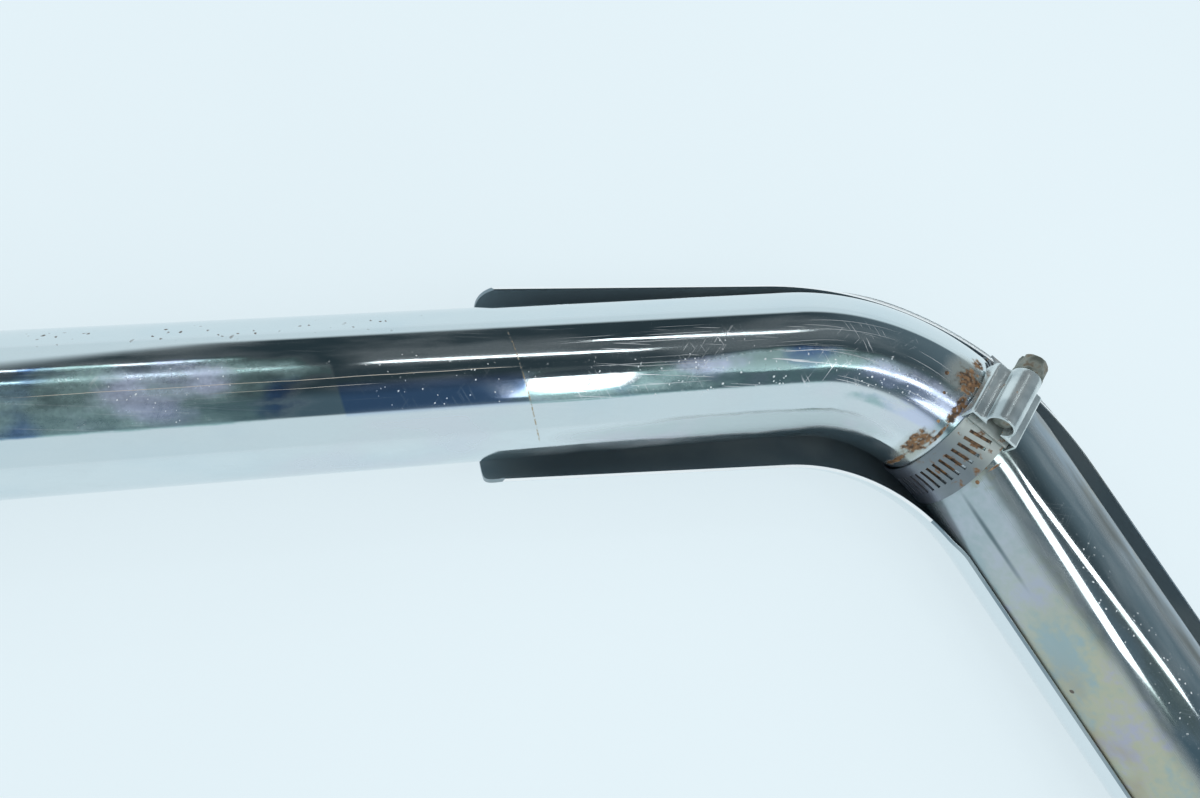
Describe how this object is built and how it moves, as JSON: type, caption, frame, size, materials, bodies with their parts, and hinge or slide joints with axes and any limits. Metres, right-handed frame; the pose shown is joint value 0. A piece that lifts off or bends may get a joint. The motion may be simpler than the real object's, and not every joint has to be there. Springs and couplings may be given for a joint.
{
  "type": "motorcycle exhaust header",
  "caption": "Bent chrome exhaust header pipe with a port collar, a loose bolt-on flange and a half-round heat shield held under it by worm-drive clamps.",
  "frame": {"origin": "centre of the port face, at the collar's front end", "axes": "the rear run points along -X, the pipe's bends lie in the XY plane, and +Z points away from the heat shield, straight up as the part lies"},
  "size_m": [0.4977, 0.4153, 0.0644],
  "materials": {
    "pipe_chrome": "bright chrome plate, worn, with light rust specks and a heat tint",
    "shield_chrome": "chrome outside, dull dark grey inside",
    "collar_steel": "turned steel, dulled by heat",
    "ring_steel": "dark spring steel",
    "flange_steel": "plated steel, dull",
    "bracket_steel": "bare sheet steel, tarnished",
    "clamp_stainless": "stainless strip, stained with rust",
    "screw_zinc": "zinc plated, dull"
  },
  "bodies": {
    "pipe": {"header_pipe": "pipe_chrome", "port_collar": "collar_steel", "retaining_ring": "ring_steel", "heat_shield": "shield_chrome", "lower_bracket": "bracket_steel", "middle_bracket": "bracket_steel", "port_bracket": "bracket_steel", "lower_clamp_band": "clamp_stainless", "lower_clamp_saddle": "clamp_stainless", "lower_clamp_housing": "clamp_stainless", "lower_clamp_screw": "screw_zinc", "middle_clamp_band": "clamp_stainless", "middle_clamp_saddle": "clamp_stainless", "middle_clamp_housing": "clamp_stainless", "middle_clamp_screw": "screw_zinc", "port_clamp_band": "clamp_stainless", "port_clamp_saddle": "clamp_stainless", "port_clamp_housing": "clamp_stainless", "port_clamp_screw": "screw_zinc"},
    "flange": {"port_flange": "flange_steel"}
  },
  "joints": [
    {"name": "flange_turn", "type": "hinge", "parent": "pipe", "child": "flange", "pos_m": [0, 0, 0], "axis": [0.9205, 0.3907, 0], "continuous": true}
  ]
}
